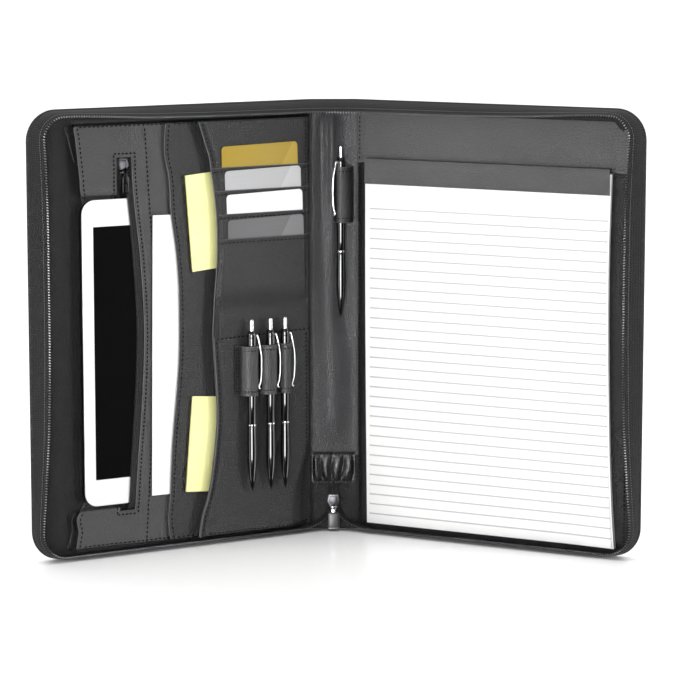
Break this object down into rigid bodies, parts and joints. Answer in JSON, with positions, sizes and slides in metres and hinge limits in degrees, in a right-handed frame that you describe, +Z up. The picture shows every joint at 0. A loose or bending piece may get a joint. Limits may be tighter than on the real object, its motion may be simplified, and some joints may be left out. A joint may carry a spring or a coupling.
{
  "type": "document wallet",
  "caption": "Zip-around leatherette folder standing open like a book, with folding covers, pockets, pen loops, card slots, writing pad, pens, cards, notes and a tablet.",
  "frame": {"origin": "centre of the footprint on the floor", "axes": "+X to the right across the open folder, +Y from the reader to the spine's back, +Z up along the spine"},
  "size_m": [0.4738, 0.1341, 0.35],
  "materials": {
    "skin": "fine-grained leatherette, satin",
    "panel": "fine-grained leatherette, satin",
    "lining": "smooth lining",
    "board": "greyboard",
    "tape": "woven zip tape",
    "teeth": "coiled zip teeth",
    "slider_metal": "bright slider",
    "slider_dark": "black slider and pull tabs",
    "tablet_white": "white bezel and back",
    "tablet_screen": "dark screen",
    "paper": "uncoated paper",
    "notes": "pale yellow notes",
    "card_gold": "gold card",
    "card_silver": "silver card",
    "card_white": "white card",
    "card_grey": "grey card",
    "pen_black": "glossy black barrel",
    "pen_metal": "bright clip and button",
    "pad_card": "backing card"
  },
  "bodies": {
    "spine": {"spine_skin": "skin", "spine_board": "board", "spine_lining": "lining", "left_crease": "skin", "right_crease": "skin", "spine_zip_tape": "tape", "left_tail": "tape", "right_tail": "tape", "gather_band": "lining", "spine_pen_loop": "panel"},
    "main_slider": {"zip_slider": "slider_metal"},
    "main_pull": {"zip_pull": "slider_dark"},
    "left_cover": {"left_skin": "skin", "left_board": "board", "left_lining": "lining", "left_zip_tape": "tape", "left_zip_chain": "teeth", "zip_panel": "panel", "second_panel": "panel", "card_panel": "panel", "pen_panel": "panel", "card_strips": "panel", "pen_loops": "panel", "pocket_top_gusset": "panel", "pocket_bottom_gusset": "panel", "pocket_zip_tape": "tape"},
    "pocket_slide": {"pocket_slider": "slider_dark"},
    "pocket_tab": {"pocket_pull": "slider_dark"},
    "tablet": {"tablet_shell": "tablet_white", "tablet_front": "tablet_white", "tablet_screen": "tablet_screen"},
    "papers": {"paper": "paper"},
    "notes_upper": {"sticky_upper": "notes"},
    "notes_lower": {"sticky_lower": "notes"},
    "right_cover": {"right_skin": "skin", "right_board": "board", "right_lining": "lining", "right_zip_tape": "tape", "right_zip_chain": "teeth", "pad_panel": "panel", "top_panel": "panel"},
    "pad": {"pad_back": "pad_card", "pad_sheets": "paper", "pad_header": "panel"},
    "card_gold": {"card_gold": "card_gold"},
    "card_silver": {"card_silver": "card_silver"},
    "card_white": {"card_white": "card_white"},
    "card_grey": {"card_grey": "card_grey"},
    "pen_1": {"pen_1_barrel": "pen_black", "pen_1_clip": "pen_metal"},
    "pen_1_push": {"pen_1_button": "pen_metal"},
    "pen_2": {"pen_2_barrel": "pen_black", "pen_2_clip": "pen_metal"},
    "pen_2_push": {"pen_2_button": "pen_metal"},
    "pen_3": {"pen_3_barrel": "pen_black", "pen_3_clip": "pen_metal"},
    "pen_3_push": {"pen_3_button": "pen_metal"},
    "spine_pen": {"spine_pen_barrel": "pen_black", "spine_pen_clip": "pen_metal"},
    "spine_pen_push": {"spine_pen_button": "pen_metal"}
  },
  "joints": [
    {"name": "left_cover_fold", "type": "hinge", "parent": "spine", "child": "left_cover", "pos_m": [-0.019, 0.06706, 0.175], "axis": [0, 0, 1], "range_deg": [-28.5, 61.5], "deforming": ["left_crease", "spine_zip_tape", "left_tail"]},
    {"name": "right_cover_fold", "type": "hinge", "parent": "spine", "child": "right_cover", "pos_m": [0.019, 0.06706, 0.175], "axis": [0, 0, -1], "range_deg": [-28.5, 61.5], "deforming": ["right_crease", "spine_zip_tape", "right_tail"]},
    {"name": "main_slider_run", "type": "slide", "parent": "spine", "child": "main_slider", "axis": [0, 0, 1], "range_m": [0, 0.007], "deforming": ["left_tail", "right_tail"]},
    {"name": "main_pull_swing", "type": "hinge", "parent": "main_slider", "child": "main_pull", "pos_m": [0, 0.05336, 0.02], "axis": [-1, 0, 0], "range_deg": [0, 175]},
    {"name": "pocket_slider_run", "type": "slide", "parent": "left_cover", "child": "pocket_slide", "axis": [0, 0, -1], "range_m": [0, 0.014], "deforming": ["pocket_zip_tape"]},
    {"name": "pocket_pull_swing", "type": "hinge", "parent": "pocket_slide", "child": "pocket_tab", "pos_m": [-0.16214, -0.02506, 0.301], "axis": [-0.8788, -0.4772, 0], "range_deg": [0, 150]},
    {"name": "tablet_slide", "type": "slide", "parent": "left_cover", "child": "tablet", "axis": [-0.8788, -0.4772, 0], "range_m": [0, 0.024]},
    {"name": "papers_slide", "type": "slide", "parent": "left_cover", "child": "papers", "axis": [-0.8788, -0.4772, 0], "range_m": [0, 0.085]},
    {"name": "notes_upper_slide", "type": "slide", "parent": "left_cover", "child": "notes_upper", "axis": [-0.8788, -0.4772, 0], "range_m": [0, 0.042]},
    {"name": "notes_lower_slide", "type": "slide", "parent": "left_cover", "child": "notes_lower", "axis": [-0.8788, -0.4772, 0], "range_m": [0, 0.042]},
    {"name": "card_gold_slide", "type": "slide", "parent": "left_cover", "child": "card_gold", "axis": [0, 0, 1], "range_m": [0, 0.042]},
    {"name": "card_silver_slide", "type": "slide", "parent": "left_cover", "child": "card_silver", "axis": [0, 0, 1], "range_m": [0, 0.042]},
    {"name": "card_white_slide", "type": "slide", "parent": "left_cover", "child": "card_white", "axis": [0, 0, 1], "range_m": [0, 0.042]},
    {"name": "card_grey_slide", "type": "slide", "parent": "left_cover", "child": "card_grey", "axis": [0, 0, 1], "range_m": [0, 0.042]},
    {"name": "pen_1_slide", "type": "slide", "parent": "left_cover", "child": "pen_1", "axis": [0, 0, 1], "range_m": [0, 0.018]},
    {"name": "pen_2_slide", "type": "slide", "parent": "left_cover", "child": "pen_2", "axis": [0, 0, 1], "range_m": [0, 0.018]},
    {"name": "pen_3_slide", "type": "slide", "parent": "left_cover", "child": "pen_3", "axis": [0, 0, 1], "range_m": [0, 0.018]},
    {"name": "spine_pen_slide", "type": "slide", "parent": "spine", "child": "spine_pen", "axis": [0, 0, 1], "range_m": [0, 0.02]},
    {"name": "pen_1_press", "type": "slide", "parent": "pen_1", "child": "pen_1_push", "axis": [0, 0, -1], "range_m": [0, 0.003], "stiffness_N_per_m": 150},
    {"name": "pen_2_press", "type": "slide", "parent": "pen_2", "child": "pen_2_push", "axis": [0, 0, -1], "range_m": [0, 0.003], "stiffness_N_per_m": 150},
    {"name": "pen_3_press", "type": "slide", "parent": "pen_3", "child": "pen_3_push", "axis": [0, 0, -1], "range_m": [0, 0.003], "stiffness_N_per_m": 150},
    {"name": "spine_pen_press", "type": "slide", "parent": "spine_pen", "child": "spine_pen_push", "axis": [0, 0, -1], "range_m": [0, 0.003], "stiffness_N_per_m": 150},
    {"name": "pad_slide", "type": "slide", "parent": "right_cover", "child": "pad", "axis": [0, 0, 1], "range_m": [0, 0.03]}
  ]
}
